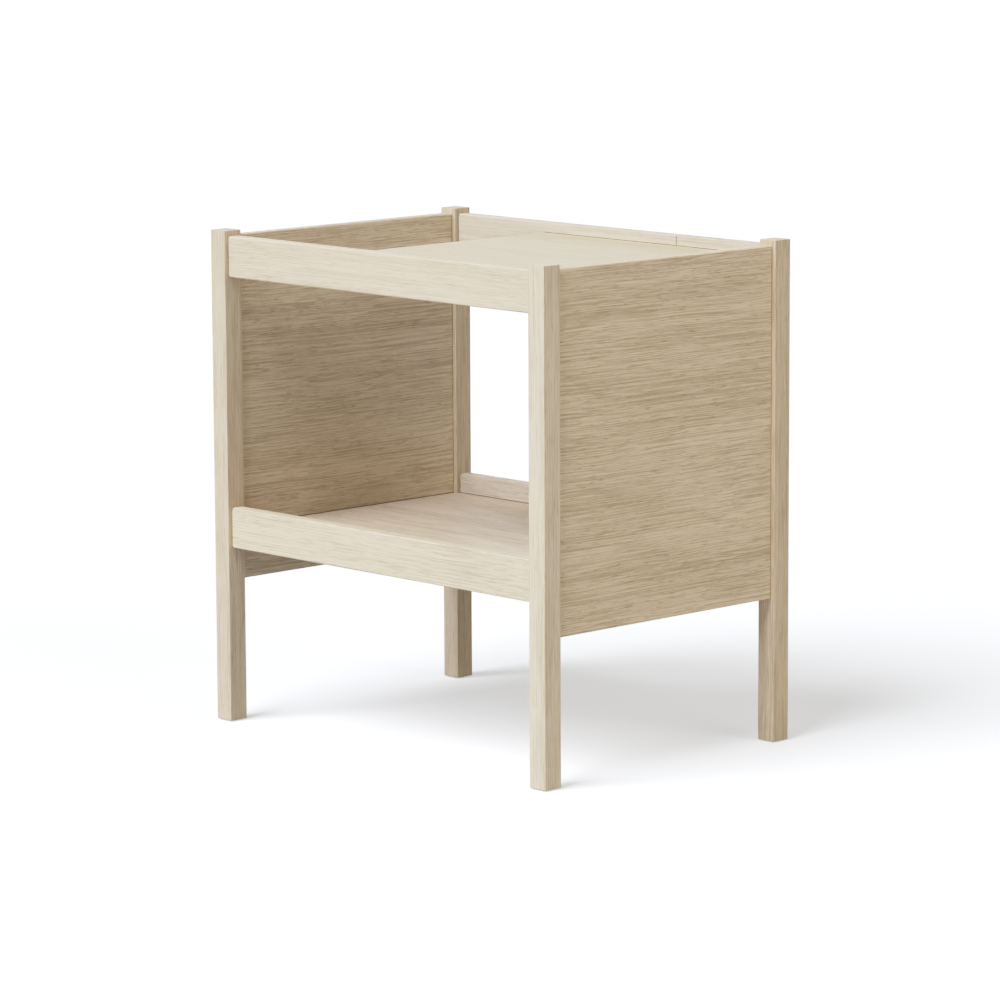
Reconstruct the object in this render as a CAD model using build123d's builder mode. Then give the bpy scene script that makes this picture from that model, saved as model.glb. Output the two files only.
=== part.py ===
from build123d import *

import os

# Open bedside table in oak: four posts, two side panels, four rails and two shelves, glued on
# hidden dowels. Millimetres. The origin is on the floor under the middle of the table, +X is to
# the right seen from the front, +Y to the back and +Z up.

os.makedirs("parts", exist_ok=True)

# ---- driving dimensions ----
height = 470.0
width = 450.0
depth = 316.0

post = 20.0
post_arris = 0.6
board = 12.0
arris = 1.5

top_drop = 5.0
rail_height = 39.0
rail_corner = 3.5
lower_rail_top = 207.0
panel_bottom = 136.0

upper_shelf_drop = 10.0
lower_shelf_drop = 19.5
shelf_gap = 0.3
shelf_arris = 0.4
side_slot = 126.0

stave_joint_x = 94.0
finger_length = 10.0
finger_count = 3

dowel_d = 6.0
dowel_chamfer = 0.6
glue_space = 1.0
deep = 13.0
shallow = 8.0
rail_dowel_spacing = 20.0
panel_dowel_count = 5
panel_dowel_margin = 16.0
long_row_margin = 45.0
side_row_margin = 50.0

glide_d = 13.0
glide_height = 1.0
glide_stem_d = 3.0
glide_stem = 12.0

# ---- derived places ----
post_x = (width - post) / 2
post_y = (depth - post) / 2
bay_x = post_x - post / 2
bay_y = post_y - post / 2
inner_x = post_x - board / 2
inner_y = post_y - board / 2
top = height - top_drop
top_rail_mid = top - rail_height / 2
lower_rail_mid = lower_rail_top - rail_height / 2
panel_height = top - panel_bottom
upper_shelf_mid = top - upper_shelf_drop - board / 2
lower_shelf_mid = lower_rail_top - lower_shelf_drop - board / 2
shelf_edge_x = inner_x - shelf_gap
shelf_edge_y = inner_y - shelf_gap
upper_shelf_left = side_slot - inner_x
corner_notch_x = shelf_edge_x - (bay_x - shelf_gap)
corner_notch_y = shelf_edge_y - (bay_y - shelf_gap)

sides = (-1, 1)
side_name = {-1: "left", 1: "right"}
end_name = {-1: "front", 1: "back"}
rail_level = {"top": top_rail_mid, "lower": lower_rail_mid}


def spread(first, last, count):
    """Evenly spaced places from first to last."""
    return [first + (last - first) * i / (count - 1) for i in range(count)]


def planes(points, direction):
    """A plane at each point, its normal along direction."""
    return [Plane(origin=point, z_dir=direction) for point in points]


# ---- dowel places: each point is where a dowel crosses the face between its two pieces ----
panel_dowel_z = spread(
    panel_bottom + panel_dowel_margin, top_rail_mid - rail_height + panel_dowel_margin, panel_dowel_count
)


def rail_end_points(level, end, side):
    middle = rail_level[level]
    return [(side * bay_x, end * post_y, middle + s * rail_dowel_spacing / 2) for s in sides]


def panel_end_points(side, end):
    return [(side * post_x, end * bay_y, z) for z in panel_dowel_z]


def long_row_points(left, middle, count, end):
    row = spread(left + long_row_margin, shelf_edge_x - long_row_margin, count)
    return [(x, end * inner_y, middle) for x in row]


def side_row_points(side, middle):
    row = spread(side_row_margin - shelf_edge_y, shelf_edge_y - side_row_margin, 3)
    return [(side * inner_x, y, middle) for y in row]


upper_row_count = 3
lower_row_count = 4
upper_rows = {end: long_row_points(upper_shelf_left, upper_shelf_mid, upper_row_count, end) for end in sides}
lower_rows = {end: long_row_points(-shelf_edge_x, lower_shelf_mid, lower_row_count, end) for end in sides}
shelf_rows = {"top": upper_rows, "lower": lower_rows}


def bore(points, direction, dowel_depth):
    """Blind dowel bores into the part, drilled against direction from each point."""
    with Locations(*planes(points, direction)):
        Hole(radius=dowel_d / 2, depth=dowel_depth + glue_space)


def dowels(points, direction, into, out):
    """Chamfered dowels that reach into one piece and out into its neighbour."""
    for plane in planes(points, direction):
        with BuildSketch(plane.offset(-into)) as section:
            Circle(dowel_d / 2)
        extrude(section.sketch, amount=into + out)
        chamfer(edges(Select.LAST).filter_by(GeomType.CIRCLE), length=dowel_chamfer)


def slab(x_range, y_range, z_range):
    """A rectangular board between two places on each axis."""
    middle = ((x_range[0] + x_range[1]) / 2, (y_range[0] + y_range[1]) / 2)
    with BuildSketch(Plane.XY.offset(z_range[0])) as outline:
        with Locations(middle):
            Rectangle(x_range[1] - x_range[0], y_range[1] - y_range[0])
    extrude(outline.sketch, amount=z_range[1] - z_range[0])


# ---- posts: vertical grain, floor to top, bored for the rails, the panels and the glides ----
for side in sides:
    for end in sides:
        name = f"{end_name[end]}_{side_name[side]}_post"
        with BuildPart() as corner_post:
            with BuildSketch(Plane.XY.offset(glide_height)):
                with Locations((side * post_x, end * post_y)):
                    Rectangle(post, post)
            extrude(amount=height - glide_height)
            fillet(corner_post.edges(), radius=post_arris)
            for level in rail_level:
                bore(rail_end_points(level, end, side), (-side, 0, 0), deep)
            bore(panel_end_points(side, end), (0, -end, 0), deep)
            with Locations(Plane(origin=(side * post_x, end * post_y, glide_height), z_dir=(0, 0, -1))):
                Hole(radius=glide_stem_d / 2, depth=glide_stem + glue_space)
        corner_post.part.label = name
        export_step(corner_post.part, f"parts/{name}.step")


# ---- glides: a low nylon button under each post, pressed in by its stem ----
for side in sides:
    for end in sides:
        name = f"{end_name[end]}_{side_name[side]}_glide"
        with BuildPart() as glide:
            with BuildSketch(Plane.XY):
                with Locations((side * post_x, end * post_y)):
                    Circle(glide_d / 2)
            extrude(amount=glide_height)
            chamfer(glide.edges().group_by(Axis.Z)[0], length=glide_height / 3)
            with BuildSketch(Plane.XY.offset(glide_height)):
                with Locations((side * post_x, end * post_y)):
                    Circle(glide_stem_d / 2)
            extrude(amount=glide_stem)
        glide.part.label = name
        export_step(glide.part, f"parts/{name}.step")


# ---- side panels: grain front to back, between the posts ----
for side in sides:
    name = f"{side_name[side]}_side_panel"
    outer_x = side * (post_x + board / 2)
    with BuildPart() as side_panel:
        slab(sorted((side * inner_x, outer_x)), (-bay_y, bay_y), (panel_bottom, top))
        fillet(side_panel.edges(), radius=arris)
        for end in sides:
            bore(panel_end_points(side, end), (0, end, 0), deep)
        bore(side_row_points(side, lower_shelf_mid), (-side, 0, 0), shallow)
        if side > 0:
            bore(side_row_points(side, upper_shelf_mid), (-side, 0, 0), shallow)
    side_panel.part.label = name
    export_step(side_panel.part, f"parts/{name}.step")


# ---- rails: grain left to right, between the posts, bored for the shelves ----
def rail(blank, level, end):
    """A rail's board between the posts, its end corners rounded and its arrises eased."""
    middle = rail_level[level]
    outer_y = end * (post_y + board / 2)
    half = rail_height / 2
    slab((-bay_x, bay_x), sorted((end * inner_y, outer_y)), (middle - half, middle + half))
    fillet(blank.edges().filter_by(Axis.Y), radius=rail_corner)
    fillet(blank.faces().filter_by(Axis.Y).edges(), radius=arris)


def rail_bores(level, end):
    """The bores in both ends and in the inner face."""
    for side in sides:
        bore(rail_end_points(level, end, side), (side, 0, 0), deep)
    bore(shelf_rows[level][end], (0, -end, 0), shallow)


for level, end in (("top", -1), ("lower", -1), ("lower", 1)):
    name = f"{level}_{end_name[end]}_rail"
    with BuildPart() as one_rail:
        rail(one_rail, level, end)
        rail_bores(level, end)
    one_rail.part.label = name
    export_step(one_rail.part, f"parts/{name}.step")


# ---- top back rail: two staves end to end, joined by glued fingers across their thickness ----
def finger_line():
    """The zigzag between the two staves seen from above, from the front face to the back face."""
    steps = 2 * finger_count
    across = spread(inner_y, inner_y + board, steps + 1)
    reach = [stave_joint_x + finger_length * (i % 2) for i in range(steps + 1)]
    return list(zip(reach, across))


for name, far_x in (("top_back_rail_long_stave", -bay_x), ("top_back_rail_short_stave", bay_x)):
    zigzag = finger_line()
    with BuildPart() as stave:
        rail(stave, "top", 1)
        rail_bores("top", 1)
        with BuildSketch(Plane.XY.offset(top - rail_height)):
            with BuildLine():
                Polyline(
                    *zigzag,
                    (far_x, zigzag[-1][1]),
                    (far_x, zigzag[0][1]),
                    close=True,
                )
            make_face()
        extrude(amount=rail_height, mode=Mode.INTERSECT)
    stave.part.label = name
    export_step(stave.part, f"parts/{name}.step")


# ---- shelves: grain left to right, a hair clear of the faces round them, carried by dowels ----
with BuildPart() as lower_shelf:
    shelf_bottom = lower_shelf_mid - board / 2
    slab((-shelf_edge_x, shelf_edge_x), (-shelf_edge_y, shelf_edge_y), (shelf_bottom, shelf_bottom + board))
    with BuildSketch(Plane.XY.offset(shelf_bottom)):
        with GridLocations(2 * (bay_x - shelf_gap) + corner_notch_x, 2 * (bay_y - shelf_gap) + corner_notch_y, 2, 2):
            Rectangle(corner_notch_x, corner_notch_y)
    extrude(amount=board, mode=Mode.SUBTRACT)
    fillet(lower_shelf.edges().group_by(Axis.Z)[-1], radius=shelf_arris)
    for end in sides:
        bore([(x, end * shelf_edge_y, z) for x, _, z in lower_rows[end]], (0, end, 0), deep)
    for side in sides:
        row = side_row_points(side, lower_shelf_mid)
        bore([(side * shelf_edge_x, y, z) for _, y, z in row], (side, 0, 0), deep)
lower_shelf.part.label = "lower_shelf"
export_step(lower_shelf.part, "parts/lower_shelf.step")

with BuildPart() as upper_shelf:
    shelf_bottom = upper_shelf_mid - board / 2
    slab((upper_shelf_left, shelf_edge_x), (-shelf_edge_y, shelf_edge_y), (shelf_bottom, shelf_bottom + board))
    with BuildSketch(Plane.XY.offset(shelf_bottom)):
        notch_x = bay_x - shelf_gap + corner_notch_x / 2
        notch_y = bay_y - shelf_gap + corner_notch_y / 2
        with Locations(*[(notch_x, end * notch_y) for end in sides]):
            Rectangle(corner_notch_x, corner_notch_y)
    extrude(amount=board, mode=Mode.SUBTRACT)
    fillet(upper_shelf.edges().group_by(Axis.Z)[-1], radius=shelf_arris)
    for end in sides:
        bore([(x, end * shelf_edge_y, z) for x, _, z in upper_rows[end]], (0, end, 0), deep)
    row = side_row_points(1, upper_shelf_mid)
    bore([(shelf_edge_x, y, z) for _, y, z in row], (1, 0, 0), deep)
upper_shelf.part.label = "upper_shelf"
export_step(upper_shelf.part, "parts/upper_shelf.step")


# ---- dowels ----
for level in rail_level:
    for end in sides:
        name = f"{level}_{end_name[end]}_rail_dowels"
        with BuildPart() as rail_dowels:
            for side in sides:
                dowels(rail_end_points(level, end, side), (side, 0, 0), deep, deep)
        rail_dowels.part.label = name
        export_step(rail_dowels.part, f"parts/{name}.step")

for side in sides:
    name = f"{side_name[side]}_panel_dowels"
    with BuildPart() as panel_dowels:
        for end in sides:
            dowels(panel_end_points(side, end), (0, end, 0), deep, deep)
    panel_dowels.part.label = name
    export_step(panel_dowels.part, f"parts/{name}.step")

shelf_reach = deep + shelf_gap
for shelf_name, rows, middle, held_sides in (
    ("upper", upper_rows, upper_shelf_mid, (1,)),
    ("lower", lower_rows, lower_shelf_mid, sides),
):
    name = f"{shelf_name}_shelf_dowels"
    with BuildPart() as shelf_dowels:
        for end in sides:
            dowels(rows[end], (0, end, 0), shelf_reach, shallow)
        for side in held_sides:
            dowels(side_row_points(side, middle), (side, 0, 0), shelf_reach, shallow)
    shelf_dowels.part.label = name
    export_step(shelf_dowels.part, f"parts/{name}.step")
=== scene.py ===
"""Open oak bedside table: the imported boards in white-oiled oak, on a pale studio floor."""

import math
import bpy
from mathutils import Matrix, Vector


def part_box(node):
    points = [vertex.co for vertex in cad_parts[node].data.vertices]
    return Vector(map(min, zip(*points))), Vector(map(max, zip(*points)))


bl_info = {
    "name": "Open Bedside Table",
    "version": (1, 0, 0),
    "blender": (4, 5, 0),
    "location": "View3D > Sidebar > Bedside Table",
    "description": "Finishes the boards of an open oak bedside table and sets its studio",
    "category": "Object",
}

from typing import NamedTuple

import bpy
from bpy.props import FloatProperty, FloatVectorProperty, PointerProperty
from mathutils import Matrix, Vector

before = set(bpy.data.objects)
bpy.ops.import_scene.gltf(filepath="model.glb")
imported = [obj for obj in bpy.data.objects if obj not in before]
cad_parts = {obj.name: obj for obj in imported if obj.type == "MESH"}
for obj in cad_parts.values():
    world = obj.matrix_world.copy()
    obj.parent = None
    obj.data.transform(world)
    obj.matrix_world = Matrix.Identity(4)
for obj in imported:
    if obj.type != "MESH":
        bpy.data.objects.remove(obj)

MM = 0.001

POSTS = ("front_left_post", "front_right_post", "back_left_post", "back_right_post")
PANELS = ("left_side_panel", "right_side_panel")
STAVES = ("top_back_rail_long_stave", "top_back_rail_short_stave")
RAILS = ("top_front_rail", "lower_front_rail", "lower_back_rail", *STAVES)
SHELVES = ("upper_shelf", "lower_shelf")
GLIDES = ("front_left_glide", "front_right_glide", "back_left_glide", "back_right_glide")
DOWELS = tuple(sorted(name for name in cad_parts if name.endswith("_dowels")))

# ---------------------------------------------------------------- settings


class TABLE_PG_oak(bpy.types.PropertyGroup):
    """The colours and the surface of the white-oiled oak."""

    wood: FloatVectorProperty(
        name="Wood",
        description="Colour of the oiled wood between its growth lines",
        subtype="COLOR",
        size=3,
        min=0.0,
        max=1.0,
        default=(0.69, 0.545, 0.375),
    )
    late_wood: FloatVectorProperty(
        name="Late wood",
        description="Colour of the dark growth lines",
        subtype="COLOR",
        size=3,
        min=0.0,
        max=1.0,
        default=(0.44, 0.33, 0.21),
    )
    pore: FloatVectorProperty(
        name="Pores",
        description="Colour of the open pores",
        subtype="COLOR",
        size=3,
        min=0.0,
        max=1.0,
        default=(0.33, 0.24, 0.145),
    )
    joint_and_shade_line: FloatVectorProperty(
        name="Joint lines",
        # Colour of the fine dark lines where boards meet: the joint between the staves, and painted shade in
        # the crevices where the shelves meet the rails and the left panel
        description="Colour of the fine lines that oil and dust leave where boards meet",
        subtype="COLOR",
        size=3,
        min=0.0,
        max=1.0,
        default=(0.16, 0.10, 0.07),
    )
    roughness: FloatProperty(
        name="Roughness",
        description="Roughness of the oiled wood between its pores",
        subtype="FACTOR",
        min=0.0,
        max=1.0,
        default=0.62,
    )
    relief: FloatProperty(
        name="Relief",
        description="Depth of the brushed-out pores and growth lines",
        subtype="DISTANCE",
        unit="LENGTH",
        min=0.0,
        default=0.2 * MM,
    )


class TABLE_PG_glides(bpy.types.PropertyGroup):
    """The surface of the nylon glides."""

    dark: FloatVectorProperty(
        name="Dark",
        description="Darkest colour of the nylon's faint speckle",
        subtype="COLOR",
        size=3,
        min=0.0,
        max=1.0,
        default=(0.10, 0.075, 0.055),
    )
    light: FloatVectorProperty(
        name="Light",
        description="Lightest colour of the nylon's faint speckle",
        subtype="COLOR",
        size=3,
        min=0.0,
        max=1.0,
        default=(0.16, 0.125, 0.095),
    )
    roughness: FloatProperty(
        name="Roughness",
        description="Roughness of the nylon",
        subtype="FACTOR",
        min=0.0,
        max=1.0,
        default=0.55,
    )


class TABLE_PG_studio(bpy.types.PropertyGroup):
    """The floor, the lights and the camera."""

    bounce: FloatVectorProperty(
        name="Floor bounce",
        description="Colour of the light that the floor throws back onto the table",
        subtype="COLOR",
        size=3,
        min=0.0,
        max=1.0,
        default=(0.42, 0.42, 0.42),
    )
    glow: FloatVectorProperty(
        name="Floor glow",
        description="Light added to the floor where it is seen, which lights nothing",
        subtype="COLOR",
        size=3,
        min=0.0,
        default=(0.47, 0.485, 0.505),
    )
    key: FloatProperty(
        name="Key light",
        description="Strength of the high light in front, in watts per square metre",
        subtype="UNSIGNED",
        min=0.0,
        default=5.8,
    )
    front_fill: FloatProperty(
        name="Front fill",
        description="Strength of the low light in front, in watts per square metre",
        subtype="UNSIGNED",
        min=0.0,
        default=1.57,
    )
    side_fill: FloatProperty(
        name="Side fill",
        description="Strength of the warm light on the right, in watts per square metre",
        subtype="UNSIGNED",
        min=0.0,
        default=1.24,
    )
    backdrop: FloatProperty(
        name="Backdrop",
        description="Strength of the low light from the white backdrop, in watts per square metre",
        subtype="UNSIGNED",
        min=0.0,
        default=0.8,
    )
    sky: FloatProperty(
        name="Sky",
        description="Strength of the even light all round",
        subtype="UNSIGNED",
        min=0.0,
        default=0.14,
    )
    azimuth: FloatProperty(
        name="Camera azimuth",
        description="Angle of the camera to the right of straight in front",
        subtype="ANGLE",
        unit="ROTATION",
        default=math.radians(46.44),
    )
    elevation: FloatProperty(
        name="Camera elevation",
        description="Angle of the camera above the floor",
        subtype="ANGLE",
        unit="ROTATION",
        default=math.radians(9.15),
    )
    roll: FloatProperty(
        name="Camera roll",
        description="Turn of the camera about its own line of sight",
        subtype="ANGLE",
        unit="ROTATION",
        default=math.radians(0.27),
    )
    distance: FloatProperty(
        name="Camera distance",
        description="Distance from the camera to the point that it looks at",
        subtype="DISTANCE",
        unit="LENGTH",
        default=4.4525,
    )
    lens: FloatProperty(
        name="Lens",
        description="Focal length of the camera, in millimetres",
        subtype="DISTANCE_CAMERA",
        unit="CAMERA",
        min=1.0,
        default=170.95,
    )
    look_at: FloatVectorProperty(
        name="Look at",
        description="Point that the camera looks at",
        subtype="XYZ",
        unit="LENGTH",
        size=3,
        default=(0.0028, -0.0005, 0.21998),
    )


# ---------------------------------------------------------------- oak


class Cut(NamedTuple):
    """How a board was cut: the axis that its grain runs along, the spacing of its growth lines in
    millimetres, how strongly they show, how thickly it is pored, and its tint: partly how its colour differs
    from the rest, partly painted light and shade."""

    grain: str
    spacing: float
    figure: float
    pores: float
    tint: tuple


# Each tint is partly the board's own tone and partly painted light and shade: boards that stand in shade,
# such as the back left post and the staves of the top back rail, are darkened, and boards that catch more
# light are lightened or cooled.
CUTS = {
    "front_left_post": Cut("Z", 1.3, 0.9, 0.4, (0.92, 0.94, 0.96)),
    "front_right_post": Cut("Z", 1.0, 1.0, 0.3, (1.06, 1.10, 1.13)),
    "back_left_post": Cut("Z", 1.2, 0.9, 0.4, (0.89, 0.90, 0.91)),
    "back_right_post": Cut("Z", 1.1, 1.2, 0.4, (0.97, 0.95, 0.92)),
    "left_side_panel": Cut("Y", 1.2, 1.4, 0.7, (1.00, 1.03, 1.06)),
    "right_side_panel": Cut("Y", 1.2, 1.4, 0.7, (1.07, 1.06, 1.02)),
    "top_front_rail": Cut("X", 1.3, 0.6, 0.3, (0.99, 1.02, 1.03)),
    "lower_front_rail": Cut("X", 1.4, 0.9, 0.3, (1.04, 1.09, 1.10)),
    "lower_back_rail": Cut("X", 1.2, 0.8, 0.4, (0.97, 1.05, 1.20)),
    "top_back_rail_long_stave": Cut("X", 1.3, 0.6, 0.3, (0.89, 0.95, 1.03)),
    "top_back_rail_short_stave": Cut("X", 1.2, 0.7, 0.3, (0.88, 0.95, 1.03)),
    "upper_shelf": Cut("X", 1.0, 0.5, 0.2, (0.93, 0.96, 0.92)),
    "lower_shelf": Cut("X", 1.1, 1.2, 0.5, (0.98, 1.00, 1.06)),
}
DOWEL_CUT = Cut("X", 1.2, 0.5, 0.1, (1.0, 1.0, 1.0))

# The turn that lays a board's grain along X.
GRAIN_TURN = {
    "X": (0.0, 0.0, 0.0),
    "Y": (0.0, 0.0, -math.pi / 2),
    "Z": (0.0, math.pi / 2, 0.0),
}

# From one board's place in the log to the next one's, in millimetres.
LOG_STEP = (731.0, 217.0, 149.0)

# Half the widths of the stave's joint line and of the painted shade lines above the shelves, and how far into
# a face they reach.
STAVE_LINE = 0.5 * MM
UPPER_SHADE_LINE = 0.3 * MM
LOWER_SHADE_LINE = 0.4 * MM
LINE_DEPTH = 0.5 * MM

# How strongly the relief shows, and the specular level of the oil.
RELIEF_STRENGTH = 0.6
OIL_SHINE = 0.3

# How many specks of the nylon's faint speckle lie across a glide.
SPECKLES_ACROSS = 900.0


def node(tree, kind, inputs=None, **settings):
    """A shader node with its settings and unlinked inputs."""
    made = tree.nodes.new(kind)
    for name, value in settings.items():
        setattr(made, name, value)
    for name, value in (inputs or {}).items():
        made.inputs[name].default_value = value
    return made


def sums(tree, operation, a, b, clamp=False):
    """One step of arithmetic on two sockets or numbers."""
    made = node(tree, "ShaderNodeMath", operation=operation, use_clamp=clamp)
    for socket, value in zip(made.inputs, (a, b)):
        if isinstance(value, (int, float)):
            socket.default_value = value
        else:
            tree.links.new(value, socket)
    return made.outputs["Value"]


def ramp(tree, value, low, high):
    """0 below low, 1 above high and smooth between."""
    limits = {"From Min": low, "From Max": high}
    made = node(tree, "ShaderNodeMapRange", limits, interpolation_type="SMOOTHSTEP")
    tree.links.new(value, made.inputs["Value"])
    return made.outputs["Result"]


def mix(tree, share, a, b):
    """Colour a, or b where the share is 1."""
    made = node(tree, "ShaderNodeMix", data_type="RGBA")
    for socket, value in zip((made.inputs[0], made.inputs[6], made.inputs[7]), (share, a, b)):
        tree.links.new(value, socket)
    return made.outputs[2]


def noise(tree, vector, along, across, detail, rough=0.5):
    """Noise with its frequency along the grain and across it. Returns the noise node."""
    mapping = node(tree, "ShaderNodeMapping", {"Scale": (along, across, across)})
    made = node(tree, "ShaderNodeTexNoise", {"Scale": 1.0, "Detail": detail, "Roughness": rough})
    tree.links.new(vector, mapping.inputs["Vector"])
    tree.links.new(mapping.outputs["Vector"], made.inputs["Vector"])
    return made


def wandered(tree, vector, along, across, reach):
    """The vector pushed across the grain by up to half of reach, so that what is drawn on it wanders."""
    push = noise(tree, vector, along, across, detail=2.0)
    centred = node(tree, "ShaderNodeVectorMath", {1: (0.5, 0.5, 0.5)}, operation="SUBTRACT")
    pushed = node(tree, "ShaderNodeVectorMath", {1: (0.0, reach, reach)}, operation="MULTIPLY_ADD")
    tree.links.new(push.outputs["Color"], centred.inputs[0])
    tree.links.new(centred.outputs[0], pushed.inputs[0])
    tree.links.new(vector, pushed.inputs[2])
    return pushed.outputs[0]


def oak_grain():
    """The node group that draws oak. Its vector runs in millimetres with X along the grain."""
    tree = bpy.data.node_groups.new("oak_grain", "ShaderNodeTree")
    for name, kind, way in (
        ("Grain", "NodeSocketVector", "INPUT"),
        ("Wood", "NodeSocketColor", "INPUT"),
        ("Late Wood", "NodeSocketColor", "INPUT"),
        ("Pore", "NodeSocketColor", "INPUT"),
        ("Spacing", "NodeSocketFloat", "INPUT"),
        ("Figure", "NodeSocketFloat", "INPUT"),
        ("Pores", "NodeSocketFloat", "INPUT"),
        ("Colour", "NodeSocketColor", "OUTPUT"),
        ("Height", "NodeSocketFloat", "OUTPUT"),
        ("Gloss", "NodeSocketFloat", "OUTPUT"),
    ):
        tree.interface.new_socket(name=name, in_out=way, socket_type=kind)
    given = node(tree, "NodeGroupInput").outputs
    out = node(tree, "NodeGroupOutput").inputs
    drifted = wandered(tree, given["Grain"], along=0.004, across=0.009, reach=9.0)
    rippled = wandered(tree, drifted, along=0.03, across=0.06, reach=0.7)

    # The lines are drawn where across the grain is counted in line spacings.
    squeeze = node(tree, "ShaderNodeCombineXYZ", {"X": 1.0})
    spaced = node(tree, "ShaderNodeVectorMath", operation="MULTIPLY")
    per_line = sums(tree, "DIVIDE", 1.0, given["Spacing"])
    tree.links.new(per_line, squeeze.inputs["Y"])
    tree.links.new(per_line, squeeze.inputs["Z"])
    tree.links.new(rippled, spaced.inputs[0])
    tree.links.new(squeeze.outputs["Vector"], spaced.inputs[1])

    # Growth lines run the length of the board and fade in and out; short dashes lie between them.
    threads = noise(tree, spaced.outputs[0], along=0.004, across=1.2, detail=2.0, rough=0.6)
    drawn = ramp(tree, threads.outputs["Fac"], low=0.48, high=0.56)
    fading = noise(tree, rippled, along=0.018, across=0.07, detail=1.0)
    strength = ramp(tree, fading.outputs["Fac"], low=0.30, high=0.65)
    lines = sums(tree, "MULTIPLY", drawn, sums(tree, "ADD", sums(tree, "MULTIPLY", strength, 0.5), 0.5))
    scratches = noise(tree, spaced.outputs[0], along=0.03, across=1.7, detail=2.0, rough=0.55)
    dashes = ramp(tree, scratches.outputs["Fac"], low=0.56, high=0.63)

    # Broad bands run along the board, and patches are as wide as a hand.
    broad = noise(tree, drifted, along=0.003, across=0.05, detail=1.0)
    bands = ramp(tree, broad.outputs["Fac"], low=0.30, high=0.70)
    patches = noise(tree, given["Grain"], along=0.009, across=0.014, detail=1.0).outputs["Fac"]

    # Pores are short ticks, thickest where the bands are dark.
    ticks = noise(tree, rippled, along=0.07, across=1.3, detail=2.0).outputs["Fac"]
    thickened = sums(tree, "ADD", ticks, sums(tree, "MULTIPLY", bands, 0.06))
    pores = ramp(tree, thickened, low=0.62, high=0.70)

    dark = 0.0
    for layer, share in ((lines, 0.60), (dashes, 0.42), (bands, 0.14), (patches, 0.12)):
        dark = sums(tree, "ADD", sums(tree, "MULTIPLY", layer, share), dark)
    dark = sums(tree, "MULTIPLY", dark, given["Figure"], clamp=True)
    colour = mix(tree, dark, given["Wood"], given["Late Wood"])
    colour = mix(tree, sums(tree, "MULTIPLY", pores, given["Pores"], clamp=True), colour, given["Pore"])
    tree.links.new(colour, out["Colour"])

    # Pores are deepest and dullest; the soft wood of the lines and dashes is brushed out half as deep.
    height = sums(tree, "MULTIPLY", pores, -1.0)
    for layer in (lines, dashes):
        height = sums(tree, "ADD", height, sums(tree, "MULTIPLY", layer, -0.5))
    tree.links.new(height, out["Height"])
    dullness = sums(tree, "ADD", sums(tree, "MULTIPLY", pores, 0.18), sums(tree, "MULTIPLY", dashes, 0.08))
    tree.links.new(dullness, out["Gloss"])
    return tree


def joint_and_shade_lines():
    """Where the boards show a fine dark line, the stave joint or painted shade where a shelf meets a rail or
    the left panel: for each board, boxes of it as a middle and half sizes.
    """
    joint_low, joint_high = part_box("top_back_rail_short_stave")
    upper_low, upper_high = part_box("upper_shelf")
    lower_low, lower_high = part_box("lower_shelf")
    panel_low, panel_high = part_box("left_side_panel")

    # The stave joint shows on the rail's inner face above the shelf.
    face = joint_low.y
    stave = (
        (joint_low.x, face, (joint_high.z + upper_high.z) / 2),
        (STAVE_LINE, LINE_DEPTH, (joint_high.z - upper_high.z) / 2),
    )
    # Painted shade: a fine dark line on the rails just above each shelf and on the left panel just above the
    # lower shelf, where the crevice lies in shadow.
    over_upper = (
        ((upper_low.x + upper_high.x) / 2, face, upper_high.z + UPPER_SHADE_LINE),
        ((upper_high.x - upper_low.x) / 2, LINE_DEPTH, UPPER_SHADE_LINE),
    )
    over_lower = ((0.0, face, lower_high.z + LOWER_SHADE_LINE), (lower_high.x, LINE_DEPTH, LOWER_SHADE_LINE))
    inside = panel_high.x
    beside_lower = ((inside, 0.0, lower_high.z + LOWER_SHADE_LINE), (LINE_DEPTH, lower_high.y, LOWER_SHADE_LINE))
    return {
        STAVES[0]: (stave, over_upper),
        STAVES[1]: (stave, over_upper),
        "lower_back_rail": (over_lower,),
        "left_side_panel": (beside_lower,),
    }


def with_line(tree, place, colour, middle, reach):
    """The colour, darkened where the place lies within reach of the middle along all three axes."""
    split = node(tree, "ShaderNodeSeparateXYZ")
    tree.links.new(place, split.inputs[0])
    inside = 1.0
    for along, centre, half in zip(split.outputs, middle, reach):
        near = node(tree, "ShaderNodeMath", {1: centre, 2: half}, operation="COMPARE")
        tree.links.new(along, near.inputs[0])
        inside = sums(tree, "MULTIPLY", near.outputs[0], inside)
    line = node(tree, "ShaderNodeRGB")
    line.outputs[0].default_value = (*bpy.context.scene.table_oak.joint_and_shade_line, 1.0)
    return mix(tree, inside, colour, line.outputs[0])


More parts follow.
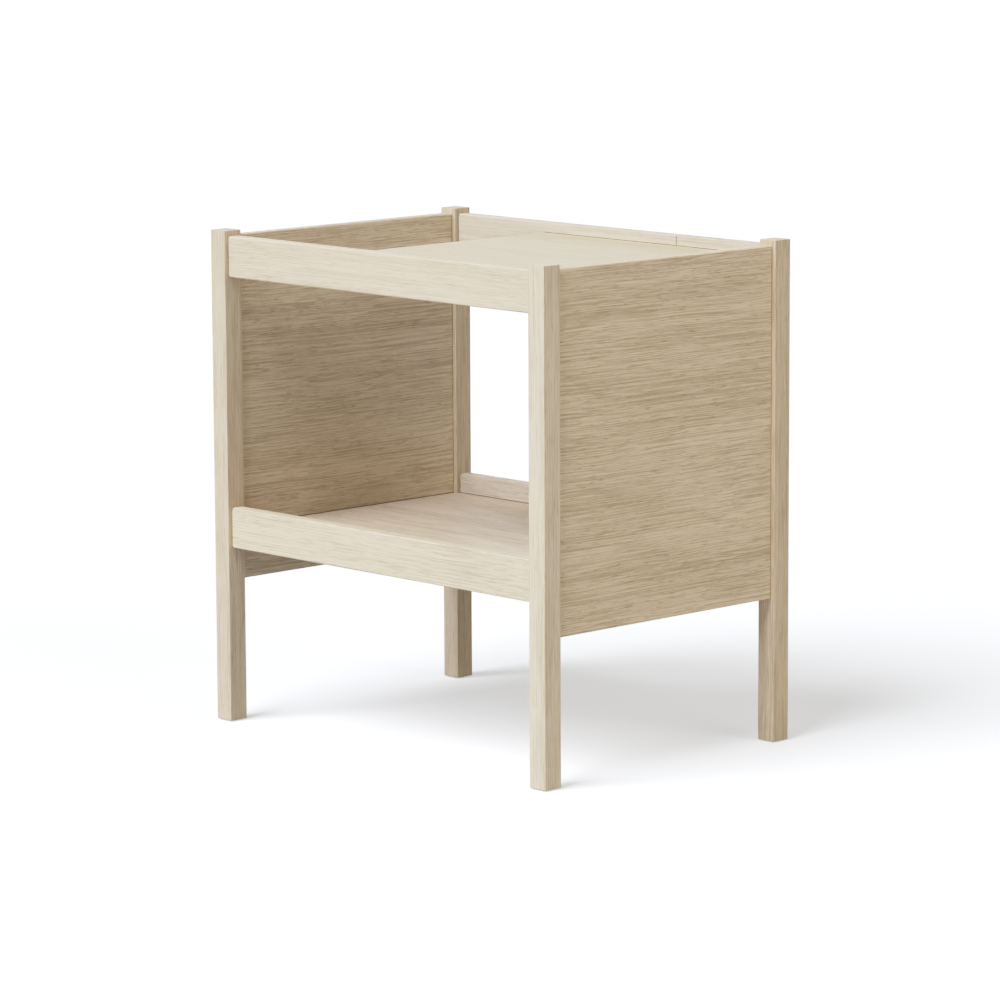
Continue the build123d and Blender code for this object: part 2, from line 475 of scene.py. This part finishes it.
def oak(name, cut, seed, lines=()):
    """White-oiled oak for one board. The seed picks where in the log it was cut."""
    settings = bpy.context.scene.table_oak
    material = bpy.data.materials.new("oak_" + name)
    material.use_nodes = True
    tree = material.node_tree
    tree.nodes.clear()
    place = node(tree, "ShaderNodeTexCoord").outputs["Object"]
    scale = (1 / MM, 1 / MM, 1 / MM)
    turn = node(tree, "ShaderNodeMapping", {"Rotation": GRAIN_TURN[cut.grain], "Scale": scale})
    log = node(tree, "ShaderNodeVectorMath", {1: [seed * step for step in LOG_STEP]}, operation="ADD")
    drawn = node(tree, "ShaderNodeGroup", node_tree=bpy.data.node_groups.get("oak_grain") or oak_grain())
    colours = {"Wood": settings.wood, "Late Wood": settings.late_wood, "Pore": settings.pore}
    # The board's tint, partly its own tone and partly painted light and shade, scales its wood, late wood and
    # pore colours.
    for socket, colour in colours.items():
        drawn.inputs[socket].default_value = (*[part * by for part, by in zip(colour, cut.tint)], 1.0)
    drawn.inputs["Spacing"].default_value = cut.spacing
    drawn.inputs["Figure"].default_value = cut.figure
    drawn.inputs["Pores"].default_value = cut.pores
    bump = node(tree, "ShaderNodeBump", {"Strength": RELIEF_STRENGTH, "Distance": settings.relief})
    shader = node(tree, "ShaderNodeBsdfPrincipled", {"Specular IOR Level": OIL_SHINE})
    out = node(tree, "ShaderNodeOutputMaterial")
    tree.links.new(place, turn.inputs["Vector"])
    tree.links.new(turn.outputs["Vector"], log.inputs[0])
    tree.links.new(log.outputs[0], drawn.inputs["Grain"])
    colour = drawn.outputs["Colour"]
    for middle, reach in lines:
        colour = with_line(tree, place, colour, middle, reach)
    tree.links.new(colour, shader.inputs["Base Color"])
    roughness = sums(tree, "ADD", drawn.outputs["Gloss"], settings.roughness, clamp=True)
    tree.links.new(roughness, shader.inputs["Roughness"])
    tree.links.new(drawn.outputs["Height"], bump.inputs["Height"])
    tree.links.new(bump.outputs["Normal"], shader.inputs["Normal"])
    tree.links.new(shader.outputs["BSDF"], out.inputs["Surface"])
    return material


def dress(name, material):
    """Gives a carried-over CAD node its material."""
    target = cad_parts[name]
    target.data.materials.clear()
    target.data.materials.append(material)


def dress_boards(names, first_seed):
    """Gives each board oak of its own cut, with its stave joint line and its painted shade lines."""
    lines = joint_and_shade_lines()
    for seed, name in enumerate(names, first_seed):
        dress(name, oak(name, CUTS[name], seed, lines.get(name, ())))


# ---------------------------------------------------------------- pieces


class TABLE_OT_posts(bpy.types.Operator):
    """Finish the four posts, their grain upright"""

    bl_idname = "table.posts"
    bl_label = "Posts"

    def execute(self, context):
        dress_boards(POSTS, first_seed=1)
        return {"FINISHED"}


class TABLE_OT_side_panels(bpy.types.Operator):
    """Finish the two side panels, their grain front to back"""

    bl_idname = "table.side_panels"
    bl_label = "Side panels"

    def execute(self, context):
        dress_boards(PANELS, first_seed=11)
        return {"FINISHED"}


class TABLE_OT_rails(bpy.types.Operator):
    """Finish the rails and the two staves of the top back rail, their grain left to right"""

    bl_idname = "table.rails"
    bl_label = "Rails"

    def execute(self, context):
        dress_boards(RAILS, first_seed=21)
        return {"FINISHED"}


class TABLE_OT_shelves(bpy.types.Operator):
    """Finish the two shelves, their grain left to right"""

    bl_idname = "table.shelves"
    bl_label = "Shelves"

    def execute(self, context):
        dress_boards(SHELVES, first_seed=31)
        return {"FINISHED"}


class TABLE_OT_dowels(bpy.types.Operator):
    """Finish the hidden dowels"""

    bl_idname = "table.dowels"
    bl_label = "Dowels"

    def execute(self, context):
        beech = oak("dowel", DOWEL_CUT, seed=41)
        for name in DOWELS:
            dress(name, beech)
        return {"FINISHED"}


class TABLE_OT_glides(bpy.types.Operator):
    """Finish the nylon glides"""

    bl_idname = "table.glides"
    bl_label = "Glides"

    def execute(self, context):
        settings = context.scene.table_glides
        nylon = bpy.data.materials.new("nylon_glide")
        nylon.use_nodes = True
        tree = nylon.node_tree
        shader = tree.nodes["Principled BSDF"]
        speckle = node(tree, "ShaderNodeTexNoise", {"Scale": SPECKLES_ACROSS, "Detail": 3.0})
        colour = node(tree, "ShaderNodeValToRGB")
        for element, shade in zip(colour.color_ramp.elements, (settings.dark, settings.light)):
            element.color = (*shade, 1.0)
        tree.links.new(speckle.outputs["Fac"], colour.inputs["Fac"])
        tree.links.new(colour.outputs["Color"], shader.inputs["Base Color"])
        shader.inputs["Roughness"].default_value = settings.roughness
        for name in GLIDES:
            dress(name, nylon)
        return {"FINISHED"}


# ---------------------------------------------------------------- studio


class Light(NamedTuple):
    """A distant light: its colour, its height, its turn to the left of straight in front and the angle
    that it spans, in degrees."""

    tint: tuple
    height: float
    left: float
    span: float


LIGHTS = {
    "key": Light((0.88, 0.915, 1.0), 50.0, 4.0, 40.0),
    "front_fill": Light((1.0, 1.0, 1.0), 10.0, 0.0, 60.0),
    "side_fill": Light((1.0, 0.925, 0.78), 25.0, -90.0, 40.0),
    "backdrop": Light((0.94, 0.97, 1.0), 8.0, 135.0, 20.0),
}
SKY_TINT = (1.0, 0.97, 0.92)
SEEN_SKY = 4.0

# Metres from the table to its lights and to the edges of the floor, and the camera's sensor in millimetres.
LAMP_REACH = 3.0
FLOOR_REACH = 40.0
SENSOR = 36.0

# The film: pairs of light in the scene and light shown. Shade stays as it is, and bright wood pales
# towards white.
TONE = ((0.0, 0.0), (0.3, 0.3), (0.54, 0.48), (0.66, 0.555), (0.88, 0.662), (1.12, 0.738), (2.1, 1.0))


def heading(azimuth, elevation):
    """Unit vector from the table towards a light or camera, to the right of straight in front and up."""
    flat = math.cos(elevation)
    return Vector((math.sin(azimuth) * flat, -math.cos(azimuth) * flat, math.sin(elevation)))


def hang(name, strength):
    """Hangs one of the studio's lights."""
    light = LIGHTS[name]
    lamp = bpy.data.lights.new(name, "SUN")
    lamp.energy = strength
    lamp.angle = math.radians(light.span)
    lamp.color = light.tint
    hung = bpy.data.objects.new(name, lamp)
    towards = heading(math.radians(-light.left), math.radians(light.height))
    hung.rotation_euler = towards.to_track_quat("Z", "Y").to_euler()
    hung.location = towards * LAMP_REACH
    bpy.context.scene.collection.objects.link(hung)


def seen_or_lit(tree, seen, lit, out):
    """Shows one shader to the camera and another to the light that bounces."""
    ray = node(tree, "ShaderNodeLightPath")
    chosen = node(tree, "ShaderNodeMixShader")
    tree.links.new(ray.outputs["Is Camera Ray"], chosen.inputs[0])
    tree.links.new(lit.outputs[0], chosen.inputs[1])
    tree.links.new(seen.outputs[0], chosen.inputs[2])
    tree.links.new(chosen.outputs[0], out.inputs["Surface"])


def white_sky(tint, strength):
    """An even fill all round, which looks plain white behind the table."""
    world = bpy.data.worlds.new("studio_sky")
    world.use_nodes = True
    tree = world.node_tree
    tree.nodes.clear()
    fill = node(tree, "ShaderNodeBackground", {"Color": (*tint, 1.0), "Strength": strength})
    white = node(tree, "ShaderNodeBackground", {"Color": (1.0, 1.0, 1.0, 1.0), "Strength": SEEN_SKY})
    seen_or_lit(tree, white, fill, node(tree, "ShaderNodeOutputWorld"))
    bpy.context.scene.world = world


def studio_floor(bounce, glow):
    """A wide white floor. It lights the table as its bounce says, and its glow whitens it to the camera."""
    mesh = bpy.data.meshes.new("studio_floor")
    corners = [(x * FLOOR_REACH, y * FLOOR_REACH, 0.0) for x, y in ((-1, -1), (1, -1), (1, 1), (-1, 1))]
    mesh.from_pydata(corners, [], [(0, 1, 2, 3)])
    floor = bpy.data.objects.new("studio_floor", mesh)
    bpy.context.scene.collection.objects.link(floor)
    material = bpy.data.materials.new("studio_floor")
    material.use_nodes = True
    tree = material.node_tree
    tree.nodes.clear()
    lit = node(tree, "ShaderNodeBsdfDiffuse", {"Color": (*bounce, 1.0)})
    paper = node(tree, "ShaderNodeBsdfDiffuse", {"Color": (1.0, 1.0, 1.0, 1.0)})
    light = node(tree, "ShaderNodeEmission", {"Color": (*glow, 1.0)})
    seen = node(tree, "ShaderNodeAddShader")
    tree.links.new(paper.outputs[0], seen.inputs[0])
    tree.links.new(light.outputs[0], seen.inputs[1])
    seen_or_lit(tree, seen, lit, node(tree, "ShaderNodeOutputMaterial"))
    mesh.materials.append(material)


def film(view):
    """Sets the scene's tone curve."""
    view.view_transform = "Standard"
    view.look = "None"
    view.use_curve_mapping = True
    mapping = view.curve_mapping
    brightest = TONE[-1][0]
    mapping.white_level = (brightest, brightest, brightest)
    curve = mapping.curves[3]
    curve.points[0].location = (0.0, 0.0)
    curve.points[1].location = (1.0, 1.0)
    for light, shown in TONE[1:-1]:
        curve.points.new(light / brightest, shown)
    mapping.update()


class TABLE_OT_studio(bpy.types.Operator):
    """Lay the floor, hang the lights and set the camera"""

    bl_idname = "table.studio"
    bl_label = "Studio"

    def execute(self, context):
        scene = context.scene
        studio = scene.table_studio
        white_sky(SKY_TINT, studio.sky)
        studio_floor(studio.bounce, studio.glow)
        for name in LIGHTS:
            hang(name, getattr(studio, name))

        view = bpy.data.cameras.new("camera")
        view.lens = studio.lens
        view.sensor_width = SENSOR
        camera = bpy.data.objects.new("camera", view)
        back = heading(studio.azimuth, studio.elevation)
        camera.location = Vector(studio.look_at) + back * studio.distance
        turn = back.to_track_quat("Z", "Y").to_matrix().to_4x4()
        camera.rotation_euler = (turn @ Matrix.Rotation(-studio.roll, 4, "Z")).to_euler()
        scene.collection.objects.link(camera)
        scene.camera = camera

        film(scene.view_settings)
        return {"FINISHED"}


# ---------------------------------------------------------------- add-on

STEPS = (
    TABLE_OT_posts,
    TABLE_OT_side_panels,
    TABLE_OT_rails,
    TABLE_OT_shelves,
    TABLE_OT_dowels,
    TABLE_OT_glides,
    TABLE_OT_studio,
)


class TABLE_PT_workshop(bpy.types.Panel):
    """Lists the steps that make the table"""

    bl_idname = "TABLE_PT_workshop"
    bl_label = "Bedside Table"
    bl_space_type = "VIEW_3D"
    bl_region_type = "UI"
    bl_category = "Bedside Table"

    def draw(self, context):
        for step in STEPS:
            self.layout.operator(step.bl_idname)


SETTINGS = {
    "table_oak": TABLE_PG_oak,
    "table_glides": TABLE_PG_glides,
    "table_studio": TABLE_PG_studio,
}


def register():
    for group in SETTINGS.values():
        bpy.utils.register_class(group)
    for name, group in SETTINGS.items():
        setattr(bpy.types.Scene, name, PointerProperty(type=group))
    for step in STEPS:
        bpy.utils.register_class(step)
    bpy.utils.register_class(TABLE_PT_workshop)


def unregister():
    bpy.utils.unregister_class(TABLE_PT_workshop)
    for step in reversed(STEPS):
        bpy.utils.unregister_class(step)
    for name, group in SETTINGS.items():
        delattr(bpy.types.Scene, name)
        bpy.utils.unregister_class(group)


def main():
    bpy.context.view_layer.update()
    register()
    for step in STEPS:
        group, name = step.bl_idname.split(".")
        getattr(getattr(bpy.ops, group), name)()


if __name__ == "__main__":
    main()
